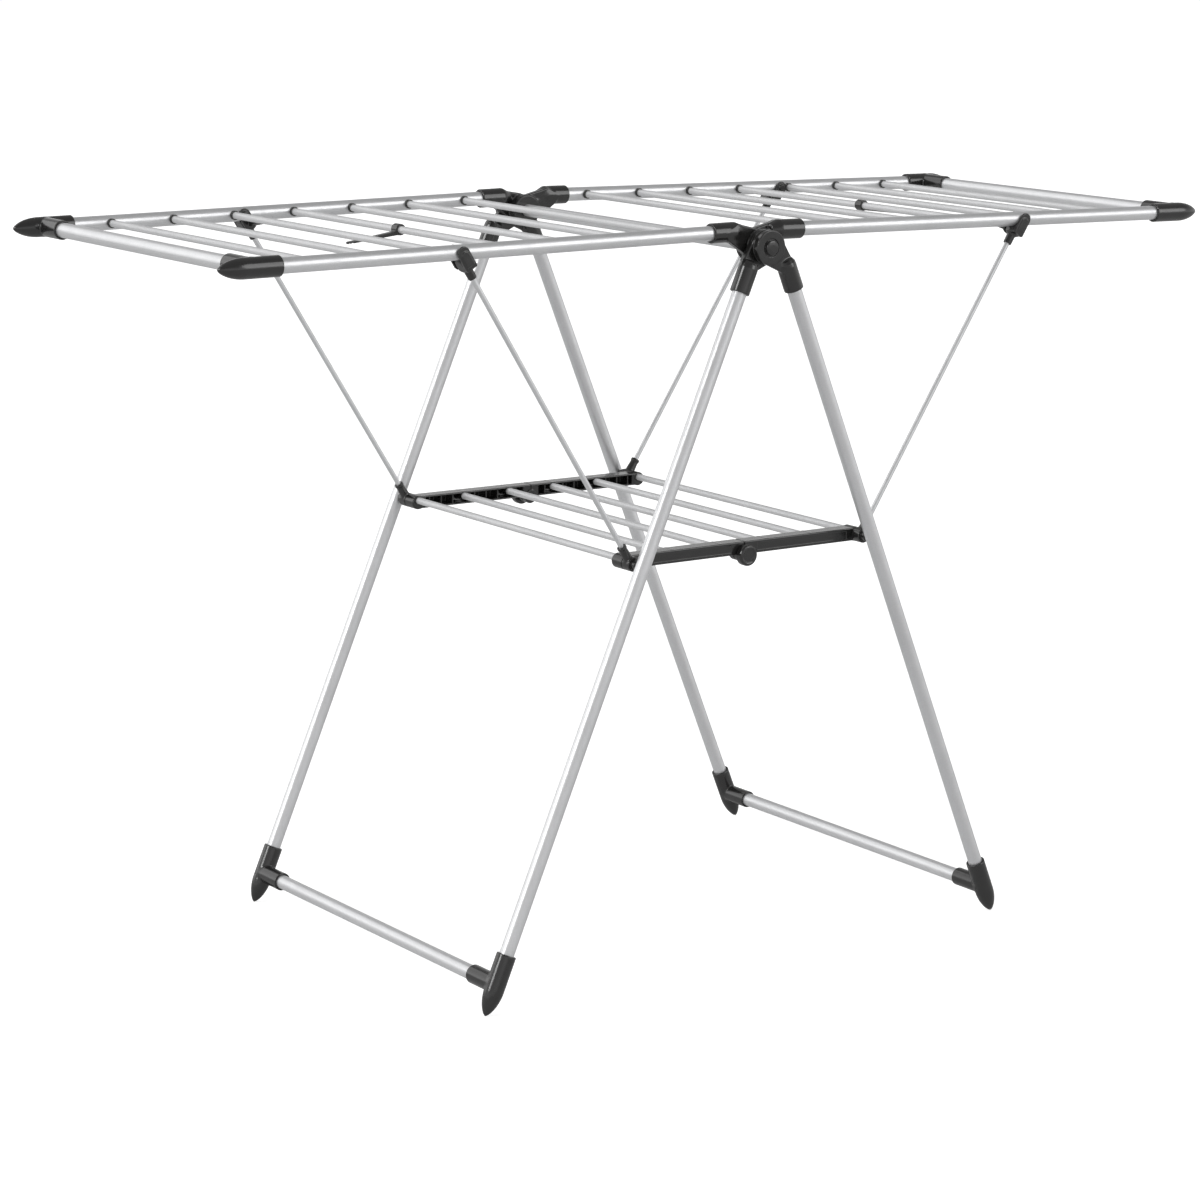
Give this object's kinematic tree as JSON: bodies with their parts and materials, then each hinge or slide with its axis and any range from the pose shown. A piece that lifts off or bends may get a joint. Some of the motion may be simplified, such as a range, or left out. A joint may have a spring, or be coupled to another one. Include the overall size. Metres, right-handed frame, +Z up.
{
  "type": "folding clothes drying rack",
  "caption": "Folding gull-wing clothes drying rack: hinged leg frames, two rod wings held by clip-on struts, and a folding rod shelf between the legs.",
  "frame": {"origin": "floor point under the centre of the open rack", "axes": "+X along the wings to the right, +Y along the rods from front to back, +Z up"},
  "size_m": [1.4564, 0.57, 0.9126],
  "materials": {
    "tube_metal": "satin silver paint on steel tube",
    "rod_metal": "satin silver paint on thin steel tube",
    "black_plastic": "fine-grained moulded black plastic",
    "pin_steel": "bright zinc"
  },
  "bodies": {
    "axle": {"axle_tube": "tube_metal", "hinge_pins": "pin_steel", "hinge_caps": "black_plastic"},
    "left_leg": {"left_leg_tube_front": "tube_metal", "left_leg_tube_back": "tube_metal", "left_cross_tube": "tube_metal", "left_foot_front": "black_plastic", "left_foot_back": "black_plastic", "left_leg_socket_front": "black_plastic", "left_leg_socket_back": "black_plastic", "left_shelf_studs": "pin_steel"},
    "left_wing": {"left_rail_front": "tube_metal", "left_rail_back": "tube_metal", "left_end_tube": "tube_metal", "left_corner_front": "black_plastic", "left_corner_back": "black_plastic", "left_knuckle_front": "black_plastic", "left_knuckle_back": "black_plastic", "left_wing_rods": "rod_metal", "left_rod_collars": "black_plastic", "left_clip_keepers": "black_plastic"},
    "left_hook": {"left_stow_hook": "black_plastic"},
    "left_strut_front": {"left_strut_rod_front": "tube_metal", "left_strut_clip_front": "black_plastic", "left_strut_eye_front": "black_plastic"},
    "left_strut_back": {"left_strut_rod_back": "tube_metal", "left_strut_clip_back": "black_plastic", "left_strut_eye_back": "black_plastic"},
    "right_leg": {"right_leg_tube_front": "tube_metal", "right_leg_tube_back": "tube_metal", "right_cross_tube": "tube_metal", "right_foot_front": "black_plastic", "right_foot_back": "black_plastic", "right_leg_socket_front": "black_plastic", "right_leg_socket_back": "black_plastic", "right_shelf_studs": "pin_steel"},
    "right_wing": {"right_rail_front": "tube_metal", "right_rail_back": "tube_metal", "right_end_tube": "tube_metal", "right_corner_front": "black_plastic", "right_corner_back": "black_plastic", "right_knuckle_front": "black_plastic", "right_knuckle_back": "black_plastic", "right_wing_rods": "rod_metal", "right_rod_collars": "black_plastic", "right_clip_keepers": "black_plastic"},
    "right_hook": {"right_stow_hook": "black_plastic"},
    "right_strut_front": {"right_strut_rod_front": "tube_metal", "right_strut_clip_front": "black_plastic", "right_strut_eye_front": "black_plastic"},
    "right_strut_back": {"right_strut_rod_back": "tube_metal", "right_strut_clip_back": "black_plastic", "right_strut_eye_back": "black_plastic"},
    "shelf_left": {"shelf_left_rail_front": "black_plastic", "shelf_left_rail_back": "black_plastic", "shelf_left_rods": "rod_metal", "shelf_knobs": "black_plastic"},
    "shelf_right": {"shelf_right_rail_front": "black_plastic", "shelf_right_rail_back": "black_plastic", "shelf_right_rods": "rod_metal"}
  },
  "joints": [
    {"name": "fold", "type": "hinge", "parent": "axle", "child": "left_leg", "pos_m": [0, 0, 0.883], "axis": [0, -1, 0], "range_deg": [0, 23]},
    {"name": "fold_right", "type": "hinge", "parent": "axle", "child": "right_leg", "pos_m": [0, 0, 0.883], "axis": [0, 1, 0], "range_deg": [0, 23]},
    {"name": "wing_left_fold", "type": "hinge", "parent": "left_leg", "child": "left_wing", "pos_m": [0, 0, 0.883], "axis": [0, -1, 0], "range_deg": [0, 60]},
    {"name": "strut_left_front_swing", "type": "hinge", "parent": "left_leg", "child": "left_strut_front", "pos_m": [-0.17522, 0, 0.515], "axis": [0, -1, 0], "range_deg": [0, 118]},
    {"name": "strut_left_back_swing", "type": "hinge", "parent": "left_leg", "child": "left_strut_back", "pos_m": [-0.17522, 0, 0.515], "axis": [0, -1, 0], "range_deg": [0, 118]},
    {"name": "left_hook_turn", "type": "hinge", "parent": "left_wing", "child": "left_hook", "pos_m": [-0.34909, -0.007, 0.89674], "axis": [0, 1, 0], "range_deg": [0, 150]},
    {"name": "wing_right_fold", "type": "hinge", "parent": "right_leg", "child": "right_wing", "pos_m": [0, 0, 0.883], "axis": [0, 1, 0], "range_deg": [0, 60]},
    {"name": "strut_right_front_swing", "type": "hinge", "parent": "right_leg", "child": "right_strut_front", "pos_m": [0.17522, 0, 0.515], "axis": [0, 1, 0], "range_deg": [0, 118]},
    {"name": "strut_right_back_swing", "type": "hinge", "parent": "right_leg", "child": "right_strut_back", "pos_m": [0.17522, 0, 0.515], "axis": [0, 1, 0], "range_deg": [0, 118]},
    {"name": "right_hook_turn", "type": "hinge", "parent": "right_wing", "child": "right_hook", "pos_m": [0.34909, -0.022, 0.89674], "axis": [0, -1, 0], "range_deg": [0, 150]},
    {"name": "shelf_left_fold", "type": "hinge", "parent": "left_leg", "child": "shelf_left", "pos_m": [-0.17522, 0, 0.515], "axis": [0, -1, 0], "range_deg": [0, 65]},
    {"name": "shelf_right_fold", "type": "hinge", "parent": "shelf_left", "child": "shelf_right", "pos_m": [0, 0, 0.5068], "axis": [0, 1, 0], "range_deg": [0, 176]}
  ],
  "couplings": [
    {"joint": "fold_right", "follows": "fold", "ratio": 1},
    {"joint": "strut_left_front_swing", "follows": "wing_left_fold", "ratio": 1.9},
    {"joint": "strut_left_back_swing", "follows": "wing_left_fold", "ratio": 1.9},
    {"joint": "strut_right_front_swing", "follows": "wing_right_fold", "ratio": 1.9},
    {"joint": "strut_right_back_swing", "follows": "wing_right_fold", "ratio": 1.9},
    {"joint": "shelf_left_fold", "follows": "fold", "ratio": 2.7806},
    {"joint": "shelf_right_fold", "follows": "fold", "ratio": 7.5612}
  ]
}
